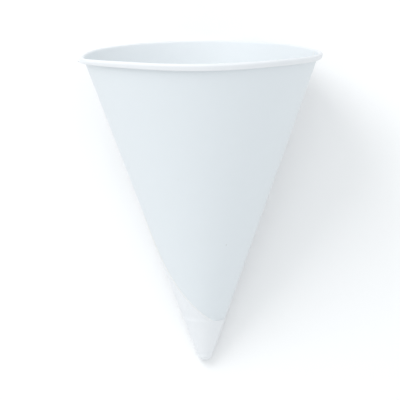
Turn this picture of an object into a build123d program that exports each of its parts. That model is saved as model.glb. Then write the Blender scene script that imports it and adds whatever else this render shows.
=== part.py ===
from build123d import *
from build123d.topology import SkipClean
import os
from math import acos, asin, atan2, cos, degrees, hypot, radians, sin

# A conical paper cup, in millimetres. One blank of paper is wound into a cone and glued
# along a lap, its tip is pressed shut, and its mouth is rolled outward into a hollow bead.
# It is built upright with the apex of its inner face at zero, then laid on its side.

# Cone
HALF_ANGLE = 20.2          # between the axis and the wall, degrees
MOUTH_RADIUS = 34.7        # inside radius where the wall ends and the rim starts to turn
PLY = 0.16                 # thickness of the paper

# Rolled rim
ROLL_RADIUS = 0.585        # first turn, at the middle of the paper
ROLL_RUN = 0.92            # straight stretch down the outside of the roll
TUCK_ANGLE = 165.0         # second turn, back in under the roll, degrees
TUCK_GAP = 0.13            # between the tucked edge and the lap beside it

# Lap of the glued blank. Azimuth 0 is the side turned up, and it grows towards +X.
CUT_OFFSET = 14.0          # from the apex to the outer cut edge, on the flat blank
CUT_AZIMUTH = 120.0        # where the outer cut edge comes nearest to the apex, degrees
START_AZIMUTH = 104.0      # where the sheet starts, at the far side of the lap, degrees
LAP_TOP_GAP = 0.2          # from the lap's upper end to the start of the roll
CUT_STEPS = 10             # level slices, less one, that carry the curve of the cut edge
SLICE_SIDES = 3            # sides that close each slice beyond the rim

# Pressed tip
NOSE_RADIUS = 2.1          # rounding of the closed tip
NOSE_WALL = 1.3            # thickness of the pressed paper at the tip
TIP_RISE = 2.8             # two plies all round reach this far up past the cut's nearest point

# Corner of the blank that stands out of the roll
CORNER_AZIMUTH = -90.0     # where the corner is, degrees
CORNER_REACH = 0.33        # of the corner's point, past the widest part of the roll
CORNER_DROP = 1.55         # of the corner's point, below the middle of the first turn
CORNER_HALF_WIDTH = 11.0   # from the corner's point to where its edge meets the roll
CORNER_ROOT_ANGLE = 20.0   # where the corner leaves the roll, above level, degrees
CORNER_ROOT_PLY = 0.08     # thickness of the corner where it leaves the roll

# Flat spot of the rim, under which the cup lies still on its side
PRESSED_DEPTH = 0.27       # how far the roll is pressed in, square to the floor

# Worked out from the sizes above
SLANT = radians(HALF_ANGLE)
SLANT_LENGTH = MOUTH_RADIUS / sin(SLANT)
TIP_SLANT = CUT_OFFSET + TIP_RISE
ROLL_OUTER = ROLL_RADIUS + PLY / 2
ROLL_INNER = ROLL_RADIUS - PLY / 2
TUCK_RADIUS = ROLL_RADIUS - PLY - TUCK_GAP / 2
TUCK_OUTER = TUCK_RADIUS + PLY / 2
TUCK_INNER = TUCK_RADIUS - PLY / 2
NOSE_HEIGHT = (NOSE_RADIUS - 2 * PLY) / sin(SLANT)
NOSE_BOTTOM = NOSE_HEIGHT - NOSE_RADIUS
HOLLOW_RADIUS = (NOSE_BOTTOM + NOSE_WALL) / (1 / sin(SLANT) - 1)
HOLLOW_HEIGHT = HOLLOW_RADIUS / sin(SLANT)
BEYOND_RIM = 2 * MOUTH_RADIUS
UNDER_FLOOR = MOUTH_RADIUS
QUARTER = 90.0
HALF_TURN = 180.0


def section_point(along, out):
    """Radius and height at a slant distance from the apex and a distance out of the inner face."""
    radius = along * sin(SLANT) + out * cos(SLANT)
    height = along * cos(SLANT) - out * sin(SLANT)
    return radius, height


ROLL_CENTRE = section_point(SLANT_LENGTH, ROLL_OUTER)
TUCK_CENTRE = section_point(SLANT_LENGTH - ROLL_RUN, ROLL_OUTER + ROLL_RADIUS - TUCK_RADIUS)


def resting_lean():
    """Angle between the axis and the floor that the tip and the flat spot of the rim touch."""
    rise = TUCK_CENTRE[1] - NOSE_HEIGHT
    spread = atan2(TUCK_CENTRE[0], rise)
    rim_reach = TUCK_OUTER - PRESSED_DEPTH
    return spread - asin((NOSE_RADIUS - rim_reach) / hypot(TUCK_CENTRE[0], rise))


def single_ply_cup():
    """Rolled rim, wall and pressed tip turned about the axis, with one ply above the tip."""
    nose_turn = QUARTER - HALF_ANGLE
    with BuildSketch(Plane.XZ) as section:
        with BuildLine():
            hollow = CenterArc((0, HOLLOW_HEIGHT), HOLLOW_RADIUS, -QUARTER, nose_turn)
            inner_face = Line(hollow @ 1, section_point(SLANT_LENGTH, 0))
            roll_out = CenterArc(ROLL_CENTRE, ROLL_OUTER, HALF_TURN - HALF_ANGLE, -HALF_TURN)
            tuck_out = CenterArc(TUCK_CENTRE, TUCK_OUTER, -HALF_ANGLE, -TUCK_ANGLE)
            Line(roll_out @ 1, tuck_out @ 0)
            tuck_in = CenterArc(TUCK_CENTRE, TUCK_INNER, -HALF_ANGLE - TUCK_ANGLE, TUCK_ANGLE)
            Line(tuck_out @ 1, tuck_in @ 0)
            roll_in = CenterArc(ROLL_CENTRE, ROLL_INNER, -HALF_ANGLE, HALF_TURN)
            Line(tuck_in @ 1, roll_in @ 0)
            outer_face = Line(roll_in @ 1, section_point(TIP_SLANT, PLY))
            tip_end = Line(outer_face @ 1, section_point(TIP_SLANT, 2 * PLY))
            nose = CenterArc((0, NOSE_HEIGHT), NOSE_RADIUS, -HALF_ANGLE, -nose_turn)
            Line(tip_end @ 1, nose @ 0)
            Line(nose @ 1, hollow @ 0)
        make_face()
    return revolve(section.sketch, Axis.Z)


def cut_edge_azimuth(along):
    """Azimuth of the outer cut edge, which is straight on the flat blank, at a slant distance."""
    return CUT_AZIMUTH - degrees(acos(CUT_OFFSET / along)) / sin(SLANT)


def open_side_section(along):
    """Level slice of the open side, from the outer cut edge round to the sheet's start."""
    first = cut_edge_azimuth(along)
    step = (START_AZIMUTH - first) / SLICE_SIDES
    turns = [radians(first + step * side) for side in range(SLICE_SIDES + 1)]
    rim = [(BEYOND_RIM * sin(turn), -BEYOND_RIM * cos(turn)) for turn in turns]
    outline = Polyline((0, 0), *rim, close=True)
    return Pos(0, 0, along * cos(SLANT)) * make_face(outline)


def open_side():
    """Twisted wedge over the side of the cup where the wall has one ply."""
    low = acos(CUT_OFFSET / (CUT_OFFSET + TIP_RISE / 2))
    high = acos(CUT_OFFSET / (SLANT_LENGTH + ROLL_OUTER))
    turns = [low + (high - low) * step / CUT_STEPS for step in range(CUT_STEPS + 1)]
    return loft([open_side_section(CUT_OFFSET / cos(turn)) for turn in turns])


def lap():
    """The outer ply above the tip, glued over the start of the sheet."""
    corners = [
        section_point(TIP_SLANT, PLY),
        section_point(SLANT_LENGTH - LAP_TOP_GAP, PLY),
        section_point(SLANT_LENGTH - LAP_TOP_GAP, 2 * PLY),
        section_point(TIP_SLANT, 2 * PLY),
    ]
    outline = Plane.XZ * Polyline(*corners, close=True)
    return revolve(make_face(outline), Axis.Z) - open_side()


def sprung_corner():
    """Pointed corner of the blank that hangs out of the roll instead of tucking under it."""
    root_turn = radians(CORNER_ROOT_ANGLE)
    root = Vector(
        ROLL_CENTRE[0] + ROLL_RADIUS * cos(root_turn),
        ROLL_CENTRE[1] + ROLL_RADIUS * sin(root_turn),
    )
    point = Vector(ROLL_CENTRE[0] + ROLL_OUTER + CORNER_REACH, ROLL_CENTRE[1] - CORNER_DROP)
    across = (point - root).normalized().rotate(Axis.Z, QUARTER)
    section = [
        root + across * CORNER_ROOT_PLY / 2,
        point + across * PLY / 2,
        point - across * PLY / 2,
        root - across * CORNER_ROOT_PLY / 2,
    ]
    flare = revolve(make_face(Plane.XZ * Polyline(*section, close=True)), Axis.Z, QUARTER)
    flare = Rot(Z=CORNER_AZIMUTH - QUARTER - QUARTER / 2) * flare
    top = ROLL_CENTRE[1] + ROLL_OUTER
    outline = Polyline(
        (0, point.Y),
        (CORNER_HALF_WIDTH, ROLL_CENTRE[1]),
        (CORNER_HALF_WIDTH, top),
        (-CORNER_HALF_WIDTH, top),
        (-CORNER_HALF_WIDTH, ROLL_CENTRE[1]),
        close=True,
    )
    turn = radians(CORNER_AZIMUTH)
    face_on = Plane((0, 0, 0), x_dir=(cos(turn), sin(turn), 0), z_dir=(sin(turn), -cos(turn), 0))
    return flare & extrude(face_on * make_face(outline), BEYOND_RIM)


def floor_slab(low, high):
    """Block at the rim between two heights above the floor, which leans along the upright cup."""
    down = Vector(0, cos(resting_lean()), -sin(resting_lean()))
    touch = Vector(0, 0, NOSE_HEIGHT) + down * (NOSE_RADIUS - low)
    floor = Plane(touch, x_dir=(1, 0, 0), z_dir=-down)
    at_rim = floor * Pos(0, SLANT_LENGTH, 0)
    return extrude(at_rim * Rectangle(BEYOND_RIM, SLANT_LENGTH), high - low)


def filled_roll():
    """The roll with its hollow filled, from which the ply of the flat spot is taken."""
    with BuildSketch(Plane.XZ) as section:
        with BuildLine():
            roll_out = CenterArc(ROLL_CENTRE, ROLL_OUTER, HALF_TURN - HALF_ANGLE, -HALF_TURN)
            tuck_out = CenterArc(TUCK_CENTRE, TUCK_OUTER, -HALF_ANGLE, -TUCK_ANGLE)
            Line(roll_out @ 1, tuck_out @ 0)
            Line(tuck_out @ 1, roll_out @ 0)
        make_face()
    return revolve(section.sketch, Axis.Z)


def upright_cup():
    """The cup with its axis on +Z and its tip down. Faces that the lap divides stay divided."""
    with SkipClean():
        flat_spot = filled_roll() & floor_slab(-UNDER_FLOOR, PLY)
        cup = single_ply_cup() + lap() + sprung_corner() + flat_spot
        return cup - floor_slab(-UNDER_FLOOR, 0)


def laid_down(cup):
    """The cup as it comes to rest, on its tip and its rim, with the heavier lap underneath."""
    resting = Rot(X=degrees(resting_lean()) - QUARTER) * cup
    middle = resting.bounding_box().center()
    lift = NOSE_RADIUS - NOSE_HEIGHT * sin(resting_lean())
    return Pos(-middle.X, -middle.Y, lift) * resting


if __name__ == "__main__":
    os.makedirs("parts", exist_ok=True)
    export_step(laid_down(upright_cup()), "parts/paper_cone.step")
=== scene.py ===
"""A cone paper cup lying on its side on a pale studio floor, laid out as a Blender add-on.

Everything is in metres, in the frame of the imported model. The cup is first worked out upright,
with its axis on +Z, its tip down and the apex of its inner face at zero, and then laid down.
Azimuth 0 is the side that is turned up when the cup lies, and azimuth grows towards +X.
A slant distance runs from the apex up the wall, and an outward distance is square to the wall.
"""

import math

import bpy
import numpy as np
from bpy.props import FloatProperty, FloatVectorProperty, IntProperty, PointerProperty
from mathutils import Matrix, Vector


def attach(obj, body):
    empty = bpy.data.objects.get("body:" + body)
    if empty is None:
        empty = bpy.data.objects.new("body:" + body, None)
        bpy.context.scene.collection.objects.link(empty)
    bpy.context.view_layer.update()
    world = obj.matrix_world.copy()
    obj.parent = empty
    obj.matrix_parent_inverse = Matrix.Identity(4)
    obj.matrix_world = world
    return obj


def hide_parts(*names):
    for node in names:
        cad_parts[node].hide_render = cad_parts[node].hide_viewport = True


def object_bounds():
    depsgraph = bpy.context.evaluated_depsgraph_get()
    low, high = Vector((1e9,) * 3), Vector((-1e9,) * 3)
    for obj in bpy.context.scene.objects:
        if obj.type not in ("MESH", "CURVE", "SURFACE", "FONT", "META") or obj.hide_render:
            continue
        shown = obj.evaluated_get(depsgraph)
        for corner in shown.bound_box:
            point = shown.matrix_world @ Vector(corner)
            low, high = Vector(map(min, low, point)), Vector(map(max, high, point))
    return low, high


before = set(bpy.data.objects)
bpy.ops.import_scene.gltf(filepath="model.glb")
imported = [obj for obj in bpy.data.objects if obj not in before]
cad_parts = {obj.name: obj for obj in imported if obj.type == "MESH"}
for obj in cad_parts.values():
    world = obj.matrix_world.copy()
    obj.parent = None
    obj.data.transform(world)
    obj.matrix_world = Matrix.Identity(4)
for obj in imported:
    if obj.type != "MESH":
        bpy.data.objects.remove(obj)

CAD_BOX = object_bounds()
MM = 0.001

bl_info = {
    "name": "Cone Paper Cup",
    "version": (1, 0, 0),
    "blender": (4, 5, 0),
    "location": "3D View > Sidebar > Cone Cup",
    "description": "Builds a wound paper cone cup with a rolled rim, and a small studio for it",
    "category": "Add Mesh",
}


# Settings

def length(name, description, millimetres):
    """A length that is set in millimetres here and kept in metres."""
    return FloatProperty(
        name=name, description=description, default=millimetres * MM, unit="LENGTH", precision=5
    )


def angle(name, description, degrees):
    """An angle that is set in degrees here and kept in radians."""
    return FloatProperty(
        name=name, description=description, default=math.radians(degrees), subtype="ANGLE"
    )


def colour(name, description, default):
    """A colour in linear light."""
    return FloatVectorProperty(
        name=name, description=description, default=default, subtype="COLOR", min=0, max=1
    )


def factor(name, description, default):
    """A share from 0 to 1."""
    return FloatProperty(
        name=name, description=description, default=default, subtype="FACTOR", min=0, max=1
    )


class CupSizes(bpy.types.PropertyGroup):
    """Sizes of the cup that a maker would set."""

    half_angle: angle("Half angle", "Between the axis and the wall", 20.2)
    mouth_radius: length("Mouth radius", "Inside, where the rim starts to turn", 34.7)
    ply: length("Paper", "Thickness of one ply", 0.16)
    roll_radius: length("Roll", "First turn of the rim, at the middle of the paper", 0.585)
    roll_run: length("Roll run", "Straight stretch down the outside of the roll", 0.92)
    roll_widening: length("Wide front", "How much more of a run the roll has at its widest", 0.15)
    roll_narrowing: length("Narrow sides", "How much less of a run the roll's sides have", 0.45)
    tuck_angle: angle("Tuck", "Second turn of the rim, back in under the roll", 165.0)
    tuck_gap: length("Tuck gap", "Between the tucked edge and the lap beside it", 0.13)
    cut_offset: length("Cut edge", "From the apex to the cut edge, on the flat blank", 14.0)
    cut_azimuth: angle("Cut azimuth", "Where the cut edge comes nearest to the apex", 120.0)
    start_azimuth: angle("Start azimuth", "Where the sheet starts, inside the cup", 104.0)
    lap_lift: length("Lap lift", "How far the cut edge stands off the ply below", 0.034)
    nose_radius: length("Tip rounding", "Radius of the closed tip", 2.1)
    nose_wall: length("Tip wall", "Thickness of the pressed paper at the tip", 1.3)
    blunting: length("Blunt tip", "How much smaller the rounding is at its very end", 0.3)
    tip_rise: length("Pressed tip", "How far the two-ply tip reaches past the cut edge", 2.8)
    saddle: length("Rim dip", "How far the sides of the rim lie below front and back", 0.55)
    quarter_rise: length("Rim rise", "How far the rim rises beside the side turned up", 0.45)
    corner_azimuth: angle("Corner", "Where the corner of the sheet stands out of the roll", -90.0)
    corner_reach: length("Corner reach", "Past the widest part of the roll", 0.33)
    corner_drop: length("Corner drop", "Below the middle of the roll", 1.55)
    corner_half_width: length("Corner width", "From its point to where it meets the roll", 11.0)
    corner_root: angle("Corner root", "Where the corner leaves the roll, above level", 20.0)
    pressed_depth: length("Flat spot", "How far the rim is pressed in where it lies", 0.27)
    columns: IntProperty(name="Columns", description="Faces round the cup", default=444, min=60)


class PaperFinish(bpy.types.PropertyGroup):
    """Colours and surface of the waxed paper."""

    single: colour("One ply", "Paper where the wall has one ply", (0.760, 0.80, 0.825))
    # Lighter, more neutral paper where two plies lie on each other, on the lap and the tip. The
    # same colour on the outside of the roll, which has one ply, is a painted highlight.
    double: colour("Two plies", "Paper where two plies lie on each other", (0.842, 0.850, 0.866))
    raw: colour("Cut edge", "Bare fibre at a cut edge", (0.86, 0.86, 0.84))
    speck: colour("Speck", "Dark fibre in the paper", (0.42, 0.40, 0.36))
    clouding: factor("Clouding", "Brightness of the paper's dull places", 0.965)
    roughness: factor("Roughness", "Roughness of the paper", 0.52)
    cut_roughness: factor("Cut roughness", "How much rougher a cut edge is", 0.25)
    wax: factor("Wax", "Strength of the thin wax coat", 0.22)
    wax_roughness: factor("Wax roughness", "Roughness of the wax", 0.38)
    fibre_depth: length("Fibre depth", "Height of the paper's fibres", 0.012)


class StudioSettings(bpy.types.PropertyGroup):
    """Floor, light and camera."""

    floor: colour("Floor", "Colour of the floor", (0.93, 0.93, 0.93))
    fill_tint: colour("Fill colour", "Colour of the even light", (0.95, 0.98, 1.0))
    fill: FloatProperty(name="Fill", description="Strength of the even light", default=0.885)
    key: FloatProperty(name="Key", description="Power of the large light at the left", default=3.6)
    overhead: FloatProperty(
        name="Overhead", description="Power of the large light above", default=0.95
    )
    lens: length("Lens", "Focal length of the camera", 600.0)
    distance: length("Distance", "From the camera to the middle of the cup", 1950.0)
    elevation: angle("Elevation", "Of the camera above the floor", 76.2)
    roll: angle("Roll", "Turn of the camera about its line of sight", -0.782)
    centre_x: FloatProperty(
        name="Centre X", description="Pixel column of the cup's middle", default=201.84
    )
    centre_y: FloatProperty(
        name="Centre Y", description="Pixel row of the cup's middle", default=173.35
    )


# Fixed details of the shape

# Columns of faces beside a cut edge, by their distance from it on the paper
EDGE_OFFSETS = np.array([0.5, 0.25, 0.08, 0.03, -0.03, -0.08, -0.25, -0.5]) * MM
EDGE_COLUMNS = len(EDGE_OFFSETS)
# Share of the other columns that lie where the wall has one ply
SINGLE_SHARE = 0.61
# Radius under which the columns at the sheet's start draw together
DRAWN_RADIUS = 5.0 * MM

# Rows of faces on each stretch; on the rim they are for the roll, its run and the tuck
HOLLOW_ROWS = 8
INNER_ROWS = 42
RIM_ROWS = (19, 4, 12)
RIM_BACK_ROWS = (10, 3, 9)
OUTER_ROWS = 59
TIP_ROWS = 18
END_ROWS = 13
# How strongly the rows of the wall crowd towards the rim
INNER_PULL = 0.35
OUTER_PULL = 0.25
# Rows below the ring where the pressed tip starts, and rows above its rounded end
RING_OFFSETS = np.array([0.03, 0.1, 0.25, 0.5, 0.9, 1.5]) * MM
END_OFFSETS = np.array([2.0, 1.6, 1.3, 1.1, 0.95, 0.75, 0.55, 0.35, 0.15]) * MM
# Bend of the last ring before the pole of the tip
LAST_BEND = math.radians(-81.0)

# Length over which the outer ply climbs over the start of the sheet
RAMP = 5.0 * MM
# Length over which the step inside grows, up from the hollow
STEP_GROWTH = 12.0 * MM
# The step round the rim is gone where the share of the rim's length is one over this
STEP_FADE = 1.2
# From the roll down to the upper end of the lap, and the length over which that end thins
LAP_END = 0.4 * MM
LAP_THINNING = 0.8 * MM
# Reach of the lap's lift, inward from its cut edge
LIFT_REACH = 1.1 * MM
# How much of the second ply's brightness shows inside, and the width of its blurred edge
INNER_SHARE = 0.3
INNER_BLUR = 0.8 * MM
# Height of the ring where the pressed tip starts, its reach, and how far creases stay off it
PROUD = 0.03 * MM
PROUD_REACH = 1.2 * MM
RING_CLEARANCE = 0.5 * MM
# Turn past the start of the rounded end at which it is fully blunt
BLUNT_TURN = math.radians(35.0)
# Azimuth where the roll's run is widest
WIDEST_AZIMUTH = math.radians(40.0)
# Share of the wall's length above which it follows the rim's dips
DIP_START = 0.45
# Rounding of the sprung corner's point, as a share of its half width
POINT_ROUNDING = 0.03
# Small step that gives the slope of the paper round the rim
SLOPE_STEP = 2e-3 * MM
# How full the ends of a crease are; less is fuller
CREASE_ENDS = 0.7

# Waves of the wall: how many go round the cup, height in millimetres, phase, turn from tip to rim
# in radians, and the power of the share of the wall's length by which they fade to the tip
WAVES = (
    (2, 0.022, 0.7, 0.0, 1),
    (3, 0.016, -1.9, 2.5, 1),
    (7, 0.010, 0.0, 4.0, 2),
    (13, 0.006, 0.4, -6.0, 3),
)
# Creases: azimuth in degrees, low and high slant distance, height and width in millimetres
TIP_CREASES = (
    (37.0, 6.0, 14.5, 0.055, 0.16),
    (44.0, 5.0, 9.5, -0.045, 0.18),
    (15.0, 4.6, 7.0, 0.035, 0.22),
    (-28.0, 4.4, 8.0, -0.030, 0.25),
    (98.0, 5.0, 12.0, 0.050, 0.20),
    (161.0, 4.8, 11.0, -0.050, 0.22),
    (228.0, 5.2, 13.0, 0.045, 0.18),
)
# Rings of the tip's end: height, distance before the rounding starts and width in millimetres
TIP_RINGS = (
    (0.060, 0.10, 0.32),
    (-0.045, 0.95, 0.32),
)
# Sags of the rim: azimuth in degrees, depth in millimetres and width in degrees
RIM_SAGS = (
    (-90.0, 0.42, 20.0),
    (114.0, 0.25, 16.0),
)


# The cup's shape

def smooth(value):
    """Rises from 0 to 1 as value goes from 0 to 1, level at both ends: 3v^2 - 2v^3."""
    value = np.clip(value, 0.0, 1.0)
    return value * value * (3.0 - 2.0 * value)


def bell(distance, width):
    """1 at the middle and falling on both sides: e to the power of -(distance / width)^2."""
    return np.exp(-((distance / width) ** 2))


def spaced(low, high, count, pull):
    """Count values from low to high; pull over 0 crowds them towards high."""
    step = np.linspace(0.0, 1.0, count)
    return low + (high - low) * (1.0 - (1.0 - step) ** (1.0 + pull))


def turned_from(place, azimuth):
    """Azimuth as seen from a place, from minus half a turn to half a turn."""
    return np.mod(azimuth - place + math.pi, 2 * math.pi) - math.pi


def facing_up(azimuth):
    """1 on the side turned up, 0 underneath: half of 1 + cos(azimuth)."""
    return (1.0 + np.cos(azimuth)) / 2


class CupForm:
    """Sizes that follow from the settings, shared by the functions below."""

    def __init__(self, sizes):
        self.sizes = sizes
        self.sine = math.sin(sizes.half_angle)
        self.cosine = math.cos(sizes.half_angle)
        self.slant = sizes.mouth_radius / self.sine
        self.roll_outer = sizes.roll_radius + sizes.ply / 2
        self.tuck_radius = sizes.roll_radius - sizes.ply - sizes.tuck_gap / 2
        self.tuck_out = self.roll_outer + sizes.roll_radius - self.tuck_radius
        self.tip_slant = sizes.cut_offset + sizes.tip_rise
        self.nose_height = (sizes.nose_radius - 2 * sizes.ply) / self.sine
        nose_bottom = self.nose_height - sizes.nose_radius
        self.hollow_radius = (nose_bottom + sizes.nose_wall) / (1 / self.sine - 1)
        self.hollow_height = self.hollow_radius / self.sine
        self.roll_length = math.pi * sizes.roll_radius
        self.run_end = self.roll_length + sizes.roll_run
        self.rim_length = self.run_end + sizes.tuck_angle * self.tuck_radius
        self.singles = round(sizes.columns * SINGLE_SHARE)
        self.doubles = sizes.columns - self.singles

    def point(self, along, out):
        """Radius and height at a slant distance and a distance out of the inner face."""
        return along * self.sine + out * self.cosine, along * self.cosine - out * self.sine

    def lean(self):
        """Angle between the axis and the floor that the tip and the flat spot touch."""
        tuck = self.point(self.slant - self.sizes.roll_run, self.tuck_out)
        rise = tuck[1] - self.nose_height
        rim_reach = self.tuck_radius + self.sizes.ply / 2 - self.sizes.pressed_depth
        narrowing = math.asin((self.sizes.nose_radius - rim_reach) / math.hypot(tuck[0], rise))
        return math.atan2(tuck[0], rise) - narrowing

    def corner_leave(self):
        """Turn along the roll at which the sprung corner leaves it, from its root angle."""
        root = self.sizes.corner_root
        rise = math.cos(root) * self.sine + math.sin(root) * self.cosine
        return math.pi - math.asin(rise)


def column_azimuths(form, along, cut_along):
    """Azimuth of every column at each row.

    Columns crowd at two edges, the start of the sheet and the outer cut edge, and lie evenly
    between them. The cut edge is straight on the flat blank: at a slant distance s it lies
    where s times the cosine of the flat angle from its foot equals its offset. Where the columns
    beside it run straight up the cone instead, they keep their distances apart on the paper.
    """
    sizes = form.sizes
    apart = EDGE_OFFSETS / np.maximum(along, form.tip_slant)[:, None]
    foot = sizes.cut_offset / cut_along[:, None] - apart
    cut = sizes.cut_azimuth - np.arccos(foot) / form.sine
    reach = np.maximum(along * form.sine, DRAWN_RADIUS)
    start = sizes.start_azimuth - EDGE_OFFSETS / reach[:, None]
    single = columns_between(cut[:, -1:], start[:, :1], form.singles)
    double = columns_between(start[:, -1:], cut[:, :1] + 2 * math.pi, form.doubles)
    return np.concatenate([cut, single, start, double], axis=1)


def columns_between(low, high, count):
    """Columns that divide the way from low to high evenly, without the two ends."""
    return low + (high - low) * (np.arange(count) + 1.0) / (count + 1.0)


def column_marks(form):
    """For each column, 1 or 0 for what it lies on.

    The marks are for two plies, for the stretch before the sheet's start, and for the columns
    right beside the outer cut edge and right beside the sheet's start.
    """
    index = np.arange(form.sizes.columns + 2 * EDGE_COLUMNS)
    cut_at = EDGE_COLUMNS // 2
    start_at = cut_at + EDGE_COLUMNS + form.singles
    before_start = (index >= cut_at) & (index < start_at)
    return {
        "two_ply": (~before_start).astype(float),
        "before_start": before_start.astype(float),
        "at_cut": ((index == cut_at - 1) | (index == cut_at)).astype(float),
        "at_start": ((index == start_at - 1) | (index == start_at)).astype(float),
    }


def climb_to_start(form, azimuth, along, marks):
    """How far the ply has climbed over the start of the sheet, smooth over the ramp's length."""
    ahead = (form.sizes.start_azimuth - azimuth) * (along * form.sine)[:, None]
    return smooth(1.0 - ahead / RAMP) * marks["before_start"]


def inside_cut(form, azimuth, along):
    """Distance on the flat blank from the cut edge into the lap: its offset less s cos(flat)."""
    sizes = form.sizes
    wound = azimuth - 2 * math.pi * (azimuth > sizes.start_azimuth)
    flat = (sizes.cut_azimuth - wound) * form.sine
    return sizes.cut_offset - along[:, None] * np.cos(flat)


def edge_lift(form, azimuth, along, marks):
    """Lift of the lap, which falls off by e for each reach from its cut edge on the flat."""
    inside = np.maximum(inside_cut(form, azimuth, along), 0.0)
    return form.sizes.lap_lift * np.exp(-inside / LIFT_REACH) * marks["two_ply"]


def waviness(form, azimuth, along):
    """Slight unevenness of the wall: sine waves round it that turn and fade towards the tip."""
    share = (along / form.slant)[:, None]
    waves = np.zeros(azimuth.shape)
    for count, height, phase, turn, power in WAVES:
        waves += height * MM * np.sin(count * azimuth + phase + turn * share) * share ** power
    return waves


def tip_creases(form, azimuth, along):
    """Short creases of the pressed tip: each a bell across and a half sine along the wall."""
    relief = np.zeros(azimuth.shape)
    for place, low, high, height, width in TIP_CREASES:
        share = np.clip((along / MM - low) / (high - low), 0.0, 1.0)
        lengthwise = np.sin(math.pi * share) ** CREASE_ENDS
        radius = along * form.sine
        across = turned_from(math.radians(place), azimuth) * radius[:, None]
        relief += height * MM * lengthwise[:, None] * bell(across, width * MM)
    return relief


def tip_ring(past):
    """Relief of the tip's end at a distance past the start of its rounding.

    A low ring stands where the rounding starts and a groove runs above it, each a bell across.
    """
    relief = np.zeros(past.shape)
    for height, before, width in TIP_RINGS:
        relief += height * MM * bell(past + before * MM, width * MM)
    return relief


def rim_dip(form, azimuth, along):
    """How far a point slides down the cone because the rim isn't level.

    The sides lie low, as sine squared; the rim rises beside the side turned up, as the squared
    sine of twice the azimuth; and it sags at a few places, each a bell round the rim.
    """
    sizes = form.sizes
    dip = sizes.saddle * np.sin(azimuth) ** 2
    dip = dip - sizes.quarter_rise * np.sin(2 * azimuth) ** 2 * facing_up(azimuth)
    for place, depth, width in RIM_SAGS:
        turned = turned_from(math.radians(place), azimuth)
        dip = dip + depth * MM * bell(turned, math.radians(width))
    return dip * smooth((along / form.slant - DIP_START) / (1.0 - DIP_START))


def roll_runs(form, azimuth):
    """Straight run down the outside of the roll at each azimuth, shorter at the two sides."""
    sizes = form.sizes
    wider = sizes.roll_widening * np.cos(azimuth - WIDEST_AZIMUTH) * facing_up(azimuth)
    return sizes.roll_run + wider - sizes.roll_narrowing * np.sin(azimuth) ** 2


def rolled_path(form, distance, azimuth, start):
    """Middle of the rolled paper, as slant and outward distances.

    It is a half circle outward, a straight run back down and a second turn inward.
    """
    sizes = form.sizes
    turn = (np.clip(distance, 0.0, form.roll_length) / sizes.roll_radius)[:, None]
    run = (np.clip(distance - form.roll_length, 0.0, sizes.roll_run) / sizes.roll_run)[:, None]
    tuck = (np.maximum(distance - form.run_end, 0.0) / form.tuck_radius)[:, None]
    along = start + sizes.roll_radius * np.sin(turn) - run * roll_runs(form, azimuth)
    along = along - form.tuck_radius * np.sin(tuck)
    out = form.roll_outer - sizes.roll_radius * np.cos(turn)
    out = out - form.tuck_radius * (1.0 - np.cos(tuck))
    return along, out


def sprung_path(form, distance, start, rolled):
    """The rolled path up to the corner's root, then a straight line to the corner's point."""
    sizes = form.sizes
    leave_turn = form.corner_leave()
    leave_at = leave_turn * sizes.roll_radius
    root_along = start + sizes.roll_radius * math.sin(leave_turn)
    root_out = form.roll_outer - sizes.roll_radius * math.cos(leave_turn)
    reach = form.roll_outer + sizes.corner_reach
    point_along = form.slant + reach * form.sine - sizes.corner_drop * form.cosine
    point_out = form.roll_outer + reach * form.cosine + sizes.corner_drop * form.sine
    share = np.clip((distance - leave_at) / (form.rim_length - leave_at), 0.0, 1.0)[:, None]
    free = (distance > leave_at)[:, None]
    along = np.where(free, root_along + (point_along - root_along) * share, rolled[0])
    out = np.where(free, root_out + (point_out - root_out) * share, rolled[1])
    return along, out


def rim_path(form, distance, azimuth):
    """Middle of the paper round the rim, as slant and outward distances.

    Where the corner of the sheet springs out, the rolled path and the sprung one are mixed. The
    mix goes from all rolled at the corner's half width to all sprung at its point.
    """
    sizes = form.sizes
    turned = np.abs(turned_from(sizes.corner_azimuth, azimuth))
    spread = turned * sizes.mouth_radius / sizes.corner_half_width
    spring = np.clip(1.0 - np.hypot(spread, POINT_ROUNDING), 0.0, 1.0)
    start = form.slant - rim_dip(form, azimuth, form.slant)
    rolled = rolled_path(form, distance, azimuth, start)
    sprung = sprung_path(form, distance, start, rolled)
    along = rolled[0] * (1.0 - spring) + sprung[0] * spring
    out = rolled[1] * (1.0 - spring) + sprung[1] * spring
    return along, out


def rim_face(form, distance, azimuth, offset, side):
    """One face of the paper round the rim.

    Side is -1 for the face that continues the inside of the cup and 1 for the other. The face
    lies half a ply off the middle path, square to it, and offset moves it further that way.
    """
    before = rim_path(form, distance - SLOPE_STEP, azimuth)
    after = rim_path(form, distance + SLOPE_STEP, azimuth)
    slope_along = after[0] - before[0]
    slope_out = after[1] - before[1]
    shift = (side * form.sizes.ply / 2 + offset) / np.hypot(slope_along, slope_out)
    along, out = rim_path(form, distance, azimuth)
    return along - slope_out * shift, out + slope_along * shift


# Rows of rings

def rows_of(azimuth, radius, height, plies, cut, side):
    """Rows of rings, with the material's masks and the face of the rim that each row lies on."""
    return {
        "azimuth": azimuth,
        "radius": radius,
        "height": height,
        "plies": plies,
        "cut": cut,
        "side": np.full(len(azimuth), side),
    }


def wall_rows(form, azimuth, along, out, plies, cut):
    """Rows on the wall, given by slant and outward distance, with the rim's dip applied."""
    all_round = np.zeros(azimuth.shape)
    along = along[:, None] + all_round
    along = along - rim_dip(form, azimuth, along)
    radius, height = form.point(along, out)
    return rows_of(azimuth, radius, height, plies, cut + all_round, 0)


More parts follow.
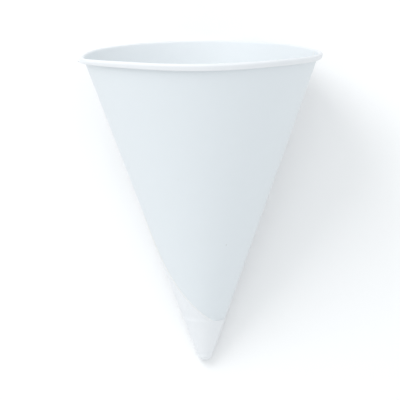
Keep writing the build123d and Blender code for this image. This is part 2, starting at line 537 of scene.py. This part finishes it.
def ball_rows(form, centre, ball_radius, bend, cut_along):
    """Rings of a ball about the axis: radius r cos(b), height c + r sin(b) at each bend b."""
    at_axis = np.zeros(len(bend))
    azimuth = column_azimuths(form, at_axis, at_axis + cut_along)
    all_round = np.zeros(azimuth.shape)
    radius = (ball_radius * np.cos(bend))[:, None] + all_round
    height = centre + (ball_radius * np.sin(bend))[:, None] + all_round
    return rows_of(azimuth, radius, height, all_round + 1.0, all_round, 0)


def hollow_rows(form):
    """Hollow inside the tip: a ball that the inner face touches."""
    bend = np.linspace(-math.pi / 2, -form.sizes.half_angle, HOLLOW_ROWS + 2)[1:-1]
    return ball_rows(form, form.hollow_height, form.hollow_radius, bend, form.slant)


def inner_rows(form, marks):
    """Inner face, from the hollow up to where the rim starts to turn."""
    low = form.hollow_height * form.cosine
    along = spaced(low, form.slant, INNER_ROWS, INNER_PULL)
    azimuth = column_azimuths(form, along, np.full(INNER_ROWS, form.slant))
    step = form.sizes.ply * climb_to_start(form, azimuth, along, marks)
    growth = smooth((along - low) / STEP_GROWTH)[:, None]
    out = step * growth + waviness(form, azimuth, along)
    plies = INNER_SHARE * smooth(inside_cut(form, azimuth, along) / INNER_BLUR + 0.5)
    return wall_rows(form, azimuth, along, out, plies, marks["at_start"])


def rim_distances(form, counts):
    """Distances round the rim of the rows on the roll, its run and the tuck, after the first."""
    ends = (0.0, form.roll_length, form.run_end, form.rim_length)
    stretches = zip(ends, ends[1:], counts)
    return np.concatenate(
        [np.linspace(low, high, count + 1)[1:] for low, high, count in stretches]
    )


def rim_rows(form, marks, distance, side):
    """Rows round the rim on one face of the paper, with the step at the sheet's start."""
    level = np.full(len(distance), form.slant)
    azimuth = column_azimuths(form, level, level)
    share = (distance / form.rim_length)[:, None]
    step = form.sizes.ply * climb_to_start(form, azimuth, level, marks)
    offset = step * (1.0 - smooth(share * STEP_FADE))
    offset = offset + waviness(form, azimuth, level) * (1.0 - share)
    along, out = rim_face(form, distance, azimuth[:1], offset, side)
    radius, height = form.point(along, out)
    all_round = np.zeros(azimuth.shape)
    # The face that shows outside the roll gets the full two-ply share, though it is one ply there.
    # This is a painted highlight on the roll; the inside of the tube gets none.
    plies = all_round + (side < 0)
    cut = all_round + (distance > form.rim_length - SLOPE_STEP)[:, None]
    return rows_of(azimuth, radius, height, plies, cut, side)


def outer_rows(form, marks):
    """Outer face, from the rim down to the pressed tip: one ply, and two where the lap lies."""
    low = form.tip_slant + RING_OFFSETS[0]
    along = spaced(low, form.slant, OUTER_ROWS + 1, OUTER_PULL)[:-1][::-1]
    azimuth = column_azimuths(form, along, along)
    climb = climb_to_start(form, azimuth, along, marks)
    under_rim = smooth((form.slant - along - LAP_END) / LAP_THINNING)[:, None]
    plies = np.maximum(marks["two_ply"], climb) * under_rim
    lift = edge_lift(form, azimuth, along, marks) * under_rim
    off_ring = 1.0 - bell(along - form.tip_slant, RING_CLEARANCE)[:, None]
    creases = tip_creases(form, azimuth, along) * off_ring
    out = form.sizes.ply * (1.0 + plies) + lift + creases + waviness(form, azimuth, along)
    return wall_rows(form, azimuth, along, out, plies, marks["at_cut"])


def tip_rows(form):
    """Pressed tip: two plies all round, a little proud at the ring where it starts."""
    end = form.nose_height * form.cosine
    upper = form.tip_slant - RING_OFFSETS
    lower = end + END_OFFSETS
    middle = np.linspace(upper[-1], lower[0], TIP_ROWS + 2)[1:-1]
    along = np.concatenate([upper, middle, lower])
    azimuth = column_azimuths(form, along, np.full(len(along), form.tip_slant))
    proud = PROUD * np.exp((along - form.tip_slant) / PROUD_REACH)
    rings = (proud + tip_ring(end - along))[:, None]
    creases = tip_creases(form, azimuth, along)
    out = 2 * form.sizes.ply + rings + creases + waviness(form, azimuth, along)
    return wall_rows(form, azimuth, along, out, np.ones(azimuth.shape), 0)


def end_rows(form):
    """Rounded end of the tip, a ball whose radius shrinks smoothly towards its pole."""
    sizes = form.sizes
    bend = np.linspace(-sizes.half_angle, LAST_BEND, END_ROWS)
    past = -sizes.half_angle - bend
    rounding = sizes.nose_radius - sizes.blunting * smooth(past / BLUNT_TURN)
    rounding = rounding + tip_ring(past * sizes.nose_radius)
    return ball_rows(form, form.nose_height, rounding, bend, form.tip_slant)


def cup_rows(form):
    """All rows of the cup, upright.

    They run from the pole inside the tip up the inner face, round the roll and the tuck, back
    on the paper's other face and down the outside to the pole of the tip.
    """
    marks = column_marks(form)
    face = rim_distances(form, RIM_ROWS)
    back = np.append(0.0, rim_distances(form, RIM_BACK_ROWS))[::-1]
    stretches = [
        hollow_rows(form),
        inner_rows(form, marks),
        rim_rows(form, marks, face, -1),
        rim_rows(form, marks, back, 1),
        outer_rows(form, marks),
        tip_rows(form),
        end_rows(form),
    ]
    return {key: np.concatenate([rows[key] for rows in stretches]) for key in stretches[0]}


# The mesh

def laid_down(form, azimuth, radius, height):
    """Points of the upright cup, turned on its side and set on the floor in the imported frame."""
    slope = form.lean() - math.pi / 2
    x = radius * np.sin(azimuth)
    back = -radius * np.cos(azimuth)
    y = back * math.cos(slope) - height * math.sin(slope)
    z = back * math.sin(slope) + height * math.cos(slope)
    nose_y = -form.nose_height * math.sin(slope)
    nose_z = form.nose_height * math.cos(slope)
    roll_reach = form.point(form.slant, form.roll_outer)[0] + form.roll_outer
    x = x + CAD_BOX[1].x - roll_reach
    y = y + CAD_BOX[0].y + form.sizes.nose_radius - nose_y
    z = z + CAD_BOX[0].z + form.sizes.nose_radius - nose_z
    return np.stack([x, y, z], axis=-1)


def pressed_flat(points, side, ply):
    """Raises what would be under the floor: the roll's back stops a ply above, all else on it."""
    least = CAD_BOX[0].z + np.where(side > 0, ply, 0.0)
    points[..., 2] = np.maximum(points[..., 2], least[:, None])
    return points


def ring_faces(rows, columns):
    """Four corners of each face between neighbouring rings, closed round, facing outward."""
    here = np.arange(rows * columns).reshape(rows, columns)
    right = np.roll(here, -1, axis=1)
    corners = [here[:-1], here[1:], right[1:], right[:-1]]
    return np.stack(corners, axis=-1).reshape(-1, 4)


def cap_faces(ring, pole, flip):
    """Triangles from one ring to its pole."""
    following = np.roll(ring, -1)
    first, second = (following, ring) if flip else (ring, following)
    return np.stack([first, second, np.full(len(ring), pole)], axis=-1)


def build_cup_mesh(form):
    """Mesh of the cup from its rows of rings, closed at both poles."""
    cup = cup_rows(form)
    points = laid_down(form, cup["azimuth"], cup["radius"], cup["height"])
    points = pressed_flat(points, cup["side"], form.sizes.ply)
    inside_pole = form.hollow_height - form.hollow_radius
    outside_pole = form.nose_height - form.sizes.nose_radius + form.sizes.blunting
    on_axis = np.zeros(2)
    poles = laid_down(form, on_axis, on_axis, np.array([inside_pole, outside_pole]))
    vertices = np.concatenate([points.reshape(-1, 3), poles])

    rows, columns = cup["azimuth"].shape
    ring = np.arange(columns)
    last_ring = ring + (rows - 1) * columns
    faces = ring_faces(rows, columns).tolist()
    faces += cap_faces(ring, rows * columns, False).tolist()
    faces += cap_faces(last_ring, rows * columns + 1, True).tolist()

    mesh = bpy.data.meshes.new("cone_cup")
    mesh.from_pydata(vertices, [], faces)
    # The two-ply share for the material; on the outside of the roll it is a painted highlight.
    store(mesh, "plies", np.append(cup["plies"], [1.0, 1.0]))
    store(mesh, "cut", np.append(cup["cut"], [0.0, 0.0]))
    mesh.validate()
    mesh.shade_smooth()
    return mesh


def store(mesh, name, values):
    """Keeps one number per vertex for the material."""
    attribute = mesh.attributes.new(name, "FLOAT", "POINT")
    attribute.data.foreach_set("value", values.astype(np.float32))


# Shader maths

class Value:
    """One output socket, with arithmetic that adds Math nodes."""

    def __init__(self, graph, socket):
        self.graph = graph
        self.socket = socket

    def combine(self, operation, first, second):
        """Math node on two values or numbers."""
        return self.graph.node("ShaderNodeMath", {"operation": operation}, {0: first, 1: second})

    def __add__(self, other):
        return self.combine("ADD", self, other)

    def __radd__(self, other):
        return self.combine("ADD", other, self)

    def __sub__(self, other):
        return self.combine("SUBTRACT", self, other)

    def __rsub__(self, other):
        return self.combine("SUBTRACT", other, self)

    def __mul__(self, other):
        return self.combine("MULTIPLY", self, other)

    def __rmul__(self, other):
        return self.combine("MULTIPLY", other, self)


class Graph:
    """Nodes of one material."""

    def __init__(self, tree):
        self.tree = tree

    def node(self, kind, settings=None, inputs=None, output=0):
        """Adds a node, sets its settings, then the values or links of its sockets."""
        made = self.tree.nodes.new(kind)
        for name, value in (settings or {}).items():
            setattr(made, name, value)
        for place, value in (inputs or {}).items():
            if isinstance(value, Value):
                self.tree.links.new(value.socket, made.inputs[place])
            else:
                made.inputs[place].default_value = value
        return Value(self, made.outputs[output]) if made.outputs else None

    def place(self):
        """Where a point lies on the piece, in metres."""
        return self.node("ShaderNodeTexCoord", output=3)

    def noise(self, where, scale, detail, roughness=0.5, distortion=0.0):
        """Soft random pattern from 0 to 1 at a number of cells per metre."""
        return self.node(
            "ShaderNodeTexNoise",
            {"noise_dimensions": "3D"},
            {
                "Vector": where,
                "Scale": scale,
                "Detail": detail,
                "Roughness": roughness,
                "Distortion": distortion,
            },
        )

    def attribute(self, name):
        """Number kept on the piece's vertices."""
        return self.node("ShaderNodeAttribute", {"attribute_name": name}, output=2)

    def mix(self, share, first, second):
        """Colour between two colours."""
        settings = {"data_type": "RGBA"}
        return self.node("ShaderNodeMix", settings, {0: share, 6: first, 7: second}, output=2)

    def distance(self, first, second):
        """Distance between two places."""
        settings = {"operation": "DISTANCE"}
        return self.node("ShaderNodeVectorMath", settings, {0: first, 1: second}, output=1)

    def between(self, value, low, high):
        """Value mapped from low to high onto 0 to 1, smoothly and held at the ends."""
        settings = {"interpolation_type": "SMOOTHSTEP"}
        return self.node("ShaderNodeMapRange", settings, {0: value, 1: low, 2: high})


def start_material(name):
    """New material without nodes, and the graph that adds them."""
    material = bpy.data.materials.new(name)
    material.use_nodes = True
    material.node_tree.nodes.clear()
    return material, Graph(material.node_tree)


def opaque(tint, share=1.0):
    """Colour with a brightness share applied and no transparency, for a colour socket."""
    return (*[share * part for part in tint], 1.0)


# Patterns of the paper and the floor, in cells per metre
CLOUD_SCALE = 260.0
FIBRE_SCALE = 2600.0
GRAIN_SCALE = 7000.0
FLOOR_SCALE = 14.0
# How far fibres and clouds vary the roughness
FIBRE_ROUGHNESS = 0.16
CLOUD_ROUGHNESS = 0.10
# Shares of the patterns in the paper's relief, and the strength of the whole
FIBRE_RELIEF = 0.7
GRAIN_RELIEF = 0.3
CLOUD_RELIEF = 0.8
RELIEF_STRENGTH = 0.35
# How far a dull cloud takes the paper to its dull colour, and the refraction of waxed paper
CLOUD_SHARE = 0.5
PAPER_IOR = 1.46
# Specks: azimuth in degrees, slant distance and radius in millimetres, and strength
SPECKS = (
    (27.2, 41.8, 0.30, 0.30),
    (-18.8, 63.5, 0.26, 0.10),
)
# Share of a speck's radius that is dark all over
SPECK_CORE = 0.4
# Roughness of the floor and brightness of its duller places
FLOOR_ROUGHNESS = 0.8
FLOOR_CLOUDING = 0.985


def speck_places(form):
    """Centre, radius and strength of each speck on the laid cup's outer face."""
    for azimuth, along, radius, strength in SPECKS:
        around, height = form.point(along * MM, form.sizes.ply)
        yield tuple(laid_down(form, math.radians(azimuth), around, height)), radius * MM, strength


def paper_material(name, finish, specks):
    """Thinly waxed white cup paper: cloudy, with fine fibres, brighter where it is double, and
    with a painted highlight where the two-ply colour lies on the outside of the roll.
    """
    material, graph = start_material(name)
    where = graph.place()
    clouds = graph.noise(where, CLOUD_SCALE, detail=3.0, roughness=0.55)
    fibres = graph.noise(where, FIBRE_SCALE, detail=4.0, roughness=0.6, distortion=0.9)
    grain = graph.noise(where, GRAIN_SCALE, detail=2.0)
    plies = graph.attribute("plies")
    cut = graph.attribute("cut")

    # Two-ply colour on the lap and the tip; on the outside of the roll the same mix is a painted
    # highlight.
    paper = graph.mix(plies, opaque(finish.single), opaque(finish.double))
    dull = opaque(finish.single, finish.clouding)
    paper = graph.mix((1.0 - clouds) * CLOUD_SHARE, paper, dull)
    for centre, radius, strength in specks:
        apart = graph.distance(where, centre) + (fibres - 0.5) * radius
        spot = 1.0 - graph.between(apart, radius * SPECK_CORE, radius)
        paper = graph.mix(spot * strength, paper, opaque(finish.speck))
    paper = graph.mix(cut, paper, opaque(finish.raw))

    roughness = finish.roughness + cut * finish.cut_roughness
    roughness += (fibres - 0.5) * FIBRE_ROUGHNESS + (clouds - 0.5) * CLOUD_ROUGHNESS
    relief = fibres * FIBRE_RELIEF + grain * GRAIN_RELIEF + clouds * CLOUD_RELIEF
    bump = graph.node(
        "ShaderNodeBump",
        None,
        {"Strength": RELIEF_STRENGTH, "Distance": finish.fibre_depth, "Height": relief},
    )
    shader = graph.node(
        "ShaderNodeBsdfPrincipled",
        None,
        {
            "Base Color": paper,
            "Roughness": roughness,
            "Normal": bump,
            "Coat Weight": finish.wax * (1.0 - cut),
            "Coat Roughness": finish.wax_roughness,
            "IOR": PAPER_IOR,
        },
    )
    graph.node("ShaderNodeOutputMaterial", None, {"Surface": shader})
    return material


def floor_material(name, tint):
    """Even matt finish for the studio floor, with a faint cloudiness."""
    material, graph = start_material(name)
    clouds = graph.noise(graph.place(), FLOOR_SCALE, detail=2.0)
    base = graph.mix(clouds, opaque(tint), opaque(tint, FLOOR_CLOUDING))
    inputs = {"Base Color": base, "Roughness": FLOOR_ROUGHNESS}
    shader = graph.node("ShaderNodeBsdfPrincipled", None, inputs)
    graph.node("ShaderNodeOutputMaterial", None, {"Surface": shader})
    return material


# Operators

class CONECUP_OT_cup(bpy.types.Operator):
    """Build the paper cup in place of the plain solid"""

    bl_idname = "conecup.cup"
    bl_label = "Build Cup"

    def execute(self, context):
        form = CupForm(context.scene.conecup_sizes)
        finish = context.scene.conecup_finish
        cup = bpy.data.objects.new("cone_cup", build_cup_mesh(form))
        context.scene.collection.objects.link(cup)
        cup.data.materials.append(paper_material("waxed_paper", finish, speck_places(form)))
        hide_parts("paper_cone")
        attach(cup, "root")
        return {"FINISHED"}


# Places and sides of the two square lights, in metres
KEY_PLACE = (-0.50, 0.50, 0.80)
KEY_SIDE = 0.60
OVERHEAD_PLACE = (0.0, 0.0, 1.10)
OVERHEAD_SIDE = 0.80
# Half the side of the floor, in metres
FLOOR_HALF = 4.0
# The camera's sensor in millimetres, and what it sees near and far as shares of its distance
SENSOR_WIDTH = 36.0
NEAR_SHARE = 0.01
FAR_SHARE = 10.0
# Side of the image in pixels
IMAGE_SIDE = 400


class CONECUP_OT_studio(bpy.types.Operator):
    """Build the floor, the lights and the camera"""

    bl_idname = "conecup.studio"
    bl_label = "Build Studio"

    def execute(self, context):
        settings = context.scene.conecup_studio
        low, high = CAD_BOX
        middle = (low + high) / 2
        self.add_floor(context, settings, low.z)
        self.add_world(context, settings)
        self.add_light(context, "key", KEY_PLACE, middle, KEY_SIDE, settings.key)
        self.add_light(
            context, "overhead", OVERHEAD_PLACE, middle, OVERHEAD_SIDE, settings.overhead
        )
        self.add_camera(context, settings, middle)
        context.scene.view_settings.view_transform = "Standard"
        return {"FINISHED"}

    def add_floor(self, context, settings, height):
        """Level square sheet that reaches well past the camera's view."""
        half = FLOOR_HALF
        corners = [(-half, -half, height), (half, -half, height), (half, half, height)]
        corners.append((-half, half, height))
        mesh = bpy.data.meshes.new("floor")
        mesh.from_pydata(corners, [], [(0, 1, 2, 3)])
        floor = bpy.data.objects.new("floor", mesh)
        floor.data.materials.append(floor_material("floor", settings.floor))
        context.scene.collection.objects.link(floor)

    def add_world(self, context, settings):
        """Even light from all round."""
        world = bpy.data.worlds.new("studio")
        world.use_nodes = True
        background = world.node_tree.nodes["Background"]
        background.inputs["Color"].default_value = opaque(settings.fill_tint)
        background.inputs["Strength"].default_value = settings.fill
        context.scene.world = world

    def add_light(self, context, name, place, aim, side, power):
        """Square soft light turned to the cup."""
        lamp = bpy.data.lights.new(name, "AREA")
        lamp.shape = "SQUARE"
        lamp.size = side
        lamp.energy = power
        holder = bpy.data.objects.new(name, lamp)
        holder.location = place
        holder.rotation_mode = "QUATERNION"
        holder.rotation_quaternion = (aim - Vector(place)).to_track_quat("-Z", "Y")
        context.scene.collection.objects.link(holder)

    def add_camera(self, context, settings, middle):
        """Camera on the line of sight, moved sideways so that the cup's middle is on its pixel."""
        camera = bpy.data.cameras.new("camera")
        camera.sensor_width = SENSOR_WIDTH
        camera.lens = settings.lens / MM
        rise, roll = settings.elevation, settings.roll
        back = Vector((0.0, -math.cos(rise), math.sin(rise)))
        turn = back.to_track_quat("Z", "Y") @ Matrix.Rotation(roll, 3, "Z").to_quaternion()
        metres_per_pixel = settings.distance * SENSOR_WIDTH / camera.lens / IMAGE_SIDE
        across = (IMAGE_SIDE / 2 - settings.centre_x) * metres_per_pixel
        upward = (settings.centre_y - IMAGE_SIDE / 2) * metres_per_pixel
        holder = bpy.data.objects.new("camera", camera)
        holder.rotation_mode = "QUATERNION"
        holder.rotation_quaternion = turn
        aside = turn @ Vector((across, upward, 0.0))
        holder.location = middle + back * settings.distance + aside
        camera.clip_start = settings.distance * NEAR_SHARE
        camera.clip_end = settings.distance * FAR_SHARE
        context.scene.collection.objects.link(holder)
        context.scene.camera = holder


class CONECUP_PT_panel(bpy.types.Panel):
    """Lists the steps and their settings"""

    bl_idname = "CONECUP_PT_panel"
    bl_label = "Cone Cup"
    bl_space_type = "VIEW_3D"
    bl_region_type = "UI"
    bl_category = "Cone Cup"

    def draw(self, context):
        layout = self.layout
        scene = context.scene
        groups = (
            ("conecup.cup", scene.conecup_sizes),
            (None, scene.conecup_finish),
            ("conecup.studio", scene.conecup_studio),
        )
        for operator, group in groups:
            box = layout.box()
            if operator:
                box.operator(operator)
            for name in group.__annotations__:
                box.prop(group, name)


CLASSES = (
    CupSizes,
    PaperFinish,
    StudioSettings,
    CONECUP_OT_cup,
    CONECUP_OT_studio,
    CONECUP_PT_panel,
)


def register():
    for item in CLASSES:
        bpy.utils.register_class(item)
    bpy.types.Scene.conecup_sizes = PointerProperty(type=CupSizes)
    bpy.types.Scene.conecup_finish = PointerProperty(type=PaperFinish)
    bpy.types.Scene.conecup_studio = PointerProperty(type=StudioSettings)


def unregister():
    del bpy.types.Scene.conecup_studio
    del bpy.types.Scene.conecup_finish
    del bpy.types.Scene.conecup_sizes
    for item in reversed(CLASSES):
        bpy.utils.unregister_class(item)


def main():
    register()
    bpy.ops.conecup.cup()
    bpy.ops.conecup.studio()


if __name__ == "__main__":
    main()
